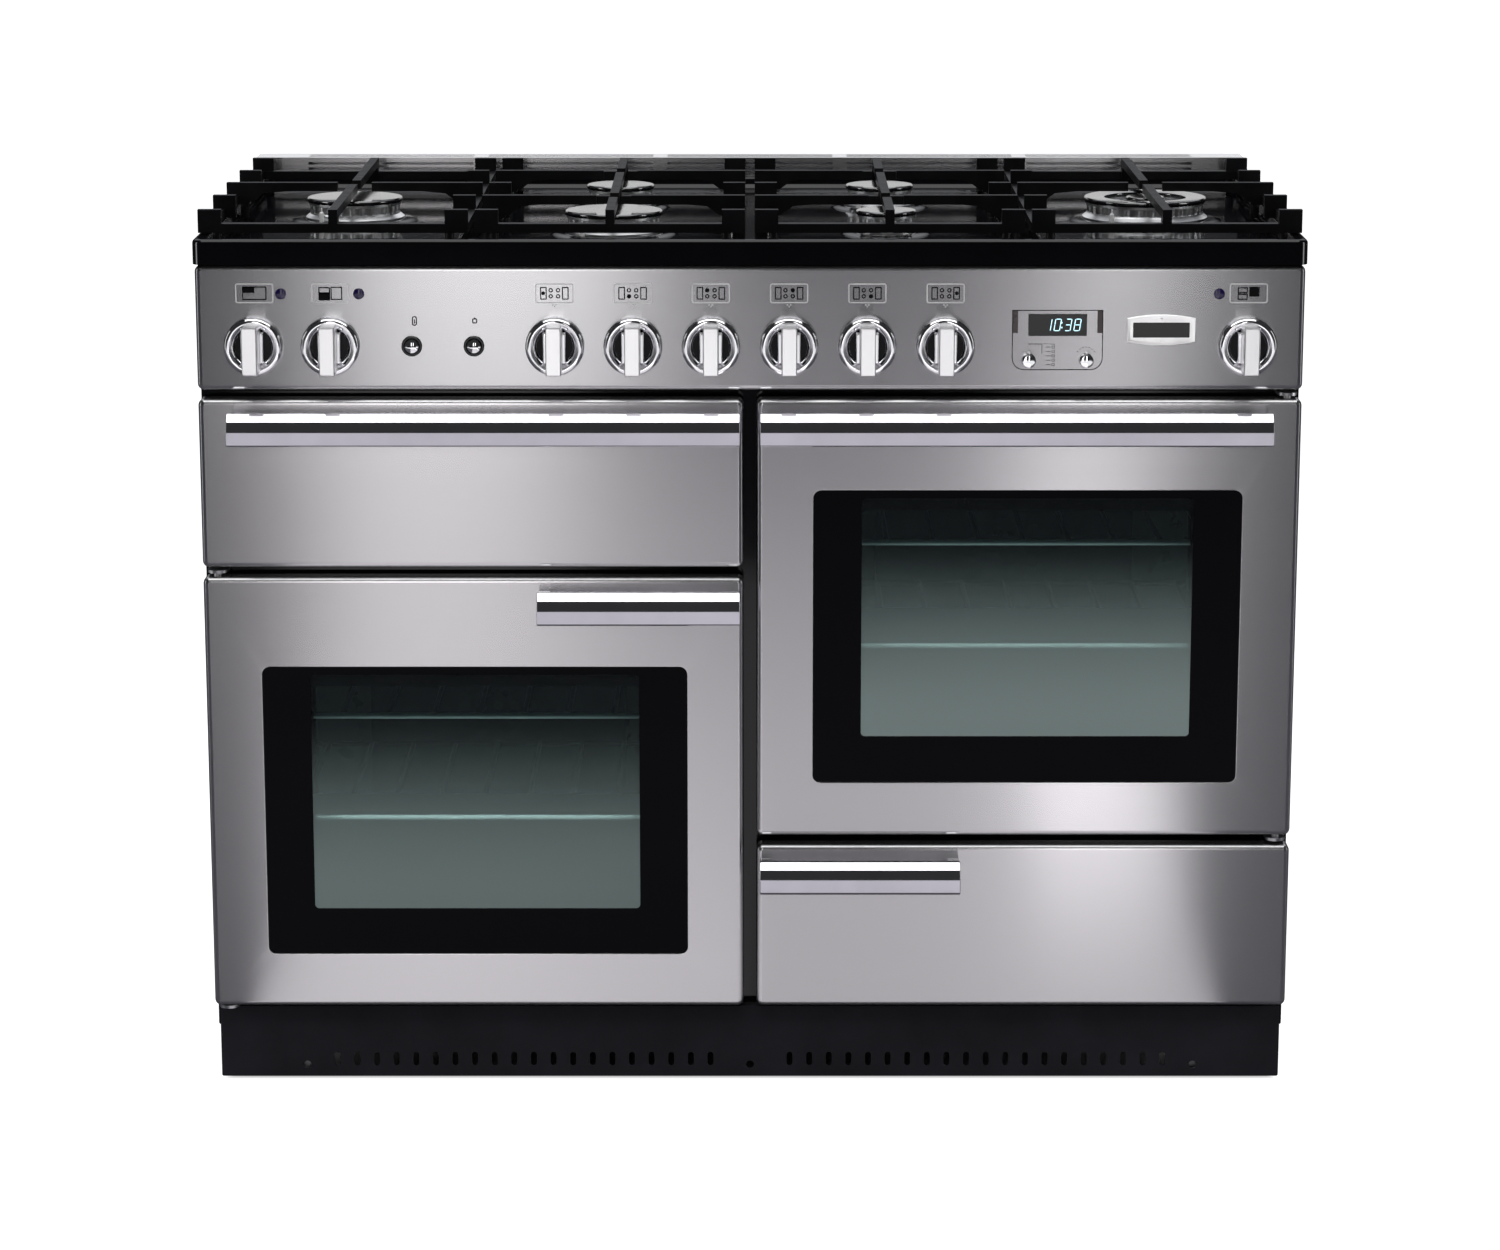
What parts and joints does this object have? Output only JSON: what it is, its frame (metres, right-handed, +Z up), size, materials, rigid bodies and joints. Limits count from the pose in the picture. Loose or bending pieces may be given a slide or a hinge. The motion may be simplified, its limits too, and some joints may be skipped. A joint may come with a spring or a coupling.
{
  "type": "range cooker",
  "caption": "Free-standing range cooker with side-hung oven doors, a glide-out grill, a storage drawer, a gas hob and rotary controls.",
  "frame": {"origin": "middle of the outer box at floor level", "axes": "-Y is the front with the doors, +X is to the right seen from the front, +Z is up"},
  "size_m": [1.1, 0.65, 0.8955],
  "materials": {
    "black_sheet": "satin black enamel",
    "zinc_sheet": "zinc plated sheet",
    "black_enamel": "gloss black enamel",
    "dark_enamel": "dark grey enamel",
    "steel_parts": "plain steel",
    "fan_metal": "cast aluminium",
    "roller_rubber": "hard rubber",
    "seal": "matt seal",
    "brushed_steel": "stainless steel brushed sideways",
    "chrome": "polished chrome",
    "cast_iron": "satin black enamelled casting",
    "cap_enamel": "gloss black enamel",
    "panel_plastic": "gloss black plastic",
    "blanket": "mineral wool blanket",
    "brass": "drawn brass",
    "door_glass": "black rimmed toughened glass"
  },
  "bodies": {
    "cooker": {"side_panels": "black_sheet", "rear_panel": "zinc_sheet", "base_frame": "zinc_sheet", "front_frame": "black_enamel", "partition_panels": "zinc_sheet", "plinth": "black_sheet", "levelling_gear": "steel_parts", "hob_tray": "black_enamel", "flue_strip": "brushed_steel", "burner_heads": "fan_metal", "burner_caps": "cap_enamel", "outer_pan_supports": "cast_iron", "centre_pan_supports": "cast_iron", "control_panel": "brushed_steel", "panel_fittings": "panel_plastic", "left_oven_liner": "dark_enamel", "right_oven_liner": "dark_enamel", "grill_liner": "dark_enamel", "insulation": "blanket", "oven_racks": "chrome", "rack_ladders": "chrome", "elements_and_lamps": "steel_parts", "fan_motors": "steel_parts", "fan_covers": "dark_enamel", "gas_rail": "brass", "terminal_box": "panel_plastic", "door_hinges": "steel_parts", "oven_seals": "seal", "fixed_runners": "zinc_sheet"},
    "rollers": {"rear_rollers": "roller_rubber"},
    "fan_left": {"left_fan": "fan_metal"},
    "fan_right": {"right_fan": "fan_metal"},
    "door_left": {"left_door_skin": "brushed_steel", "left_door_glass": "door_glass", "left_door_liner": "dark_enamel", "left_door_handle": "chrome"},
    "door_right": {"right_door_skin": "brushed_steel", "right_door_glass": "door_glass", "right_door_liner": "dark_enamel", "right_door_handle": "chrome"},
    "grill_drawer": {"grill_front": "brushed_steel", "grill_handle": "chrome", "grill_carriage": "dark_enamel", "grill_pan": "dark_enamel"},
    "storage_drawer": {"drawer_front": "brushed_steel", "drawer_handle": "chrome", "drawer_box": "zinc_sheet"},
    "knob_grill_body": {"knob_grill": "chrome"},
    "knob_left_oven_body": {"knob_left_oven": "chrome"},
    "knob_burner_1_body": {"knob_burner_1": "chrome"},
    "knob_burner_2_body": {"knob_burner_2": "chrome"},
    "knob_burner_3_body": {"knob_burner_3": "chrome"},
    "knob_burner_4_body": {"knob_burner_4": "chrome"},
    "knob_burner_5_body": {"knob_burner_5": "chrome"},
    "knob_burner_6_body": {"knob_burner_6": "chrome"},
    "knob_right_oven_body": {"knob_right_oven": "chrome"},
    "igniter_button_body": {"igniter_button": "chrome"},
    "light_button_body": {"light_button": "chrome"},
    "clock_knob_left_body": {"clock_knob_left": "chrome"},
    "clock_knob_right_body": {"clock_knob_right": "chrome"}
  },
  "joints": [
    {"name": "door_left_swing", "type": "hinge", "parent": "cooker", "child": "door_left", "pos_m": [-0.534, -0.271, 0.3], "axis": [0, 0, -1], "range_deg": [0, 100]},
    {"name": "door_right_swing", "type": "hinge", "parent": "cooker", "child": "door_right", "pos_m": [0.534, -0.271, 0.5], "axis": [0, 0, 1], "range_deg": [0, 100]},
    {"name": "drawer_grill_slide", "type": "slide", "parent": "cooker", "child": "grill_drawer", "axis": [0, -1, 0], "range_m": [0, 0.3]},
    {"name": "drawer_storage_slide", "type": "slide", "parent": "cooker", "child": "storage_drawer", "axis": [0, -1, 0], "range_m": [0, 0.35]},
    {"name": "fan_left_spin", "type": "hinge", "parent": "cooker", "child": "fan_left", "pos_m": [-0.27725, 0.121, 0.307], "axis": [0, 1, 0], "continuous": true},
    {"name": "fan_right_spin", "type": "hinge", "parent": "cooker", "child": "fan_right", "pos_m": [0.27725, 0.121, 0.4875], "axis": [0, 1, 0], "continuous": true},
    {"name": "knob_grill_turn", "type": "hinge", "parent": "cooker", "child": "knob_grill_body", "pos_m": [-0.491, -0.283, 0.765], "axis": [0, -1, 0], "range_deg": [-270, 0]},
    {"name": "knob_left_oven_turn", "type": "hinge", "parent": "cooker", "child": "knob_left_oven_body", "pos_m": [-0.415, -0.283, 0.765], "axis": [0, -1, 0], "range_deg": [-270, 0]},
    {"name": "knob_burner_1_turn", "type": "hinge", "parent": "cooker", "child": "knob_burner_1_body", "pos_m": [-0.193, -0.283, 0.765], "axis": [0, -1, 0], "range_deg": [0, 220]},
    {"name": "knob_burner_2_turn", "type": "hinge", "parent": "cooker", "child": "knob_burner_2_body", "pos_m": [-0.1158, -0.283, 0.765], "axis": [0, -1, 0], "range_deg": [0, 220]},
    {"name": "knob_burner_3_turn", "type": "hinge", "parent": "cooker", "child": "knob_burner_3_body", "pos_m": [-0.0386, -0.283, 0.765], "axis": [0, -1, 0], "range_deg": [0, 220]},
    {"name": "knob_burner_4_turn", "type": "hinge", "parent": "cooker", "child": "knob_burner_4_body", "pos_m": [0.0386, -0.283, 0.765], "axis": [0, -1, 0], "range_deg": [0, 220]},
    {"name": "knob_burner_5_turn", "type": "hinge", "parent": "cooker", "child": "knob_burner_5_body", "pos_m": [0.1158, -0.283, 0.765], "axis": [0, -1, 0], "range_deg": [0, 220]},
    {"name": "knob_burner_6_turn", "type": "hinge", "parent": "cooker", "child": "knob_burner_6_body", "pos_m": [0.193, -0.283, 0.765], "axis": [0, -1, 0], "range_deg": [0, 220]},
    {"name": "knob_right_oven_turn", "type": "hinge", "parent": "cooker", "child": "knob_right_oven_body", "pos_m": [0.492, -0.283, 0.765], "axis": [0, -1, 0], "range_deg": [-270, 0]},
    {"name": "igniter_button_press", "type": "slide", "parent": "cooker", "child": "igniter_button_body", "axis": [0, 1, 0], "range_m": [0, 0.003], "stiffness_N_per_m": 500},
    {"name": "light_button_press", "type": "slide", "parent": "cooker", "child": "light_button_body", "axis": [0, 1, 0], "range_m": [0, 0.003], "stiffness_N_per_m": 500},
    {"name": "small_clock_knob_left_turn", "type": "hinge", "parent": "cooker", "child": "clock_knob_left_body", "pos_m": [0.2755, -0.283, 0.751], "axis": [0, -1, 0], "range_deg": [-90, 90]},
    {"name": "small_clock_knob_right_turn", "type": "hinge", "parent": "cooker", "child": "clock_knob_right_body", "pos_m": [0.3325, -0.283, 0.751], "axis": [0, -1, 0], "range_deg": [-90, 90]},
    {"name": "rear_rollers_roll", "type": "hinge", "parent": "cooker", "child": "rollers", "pos_m": [0, 0.261, 0.022], "axis": [1, 0, 0], "continuous": true}
  ]
}
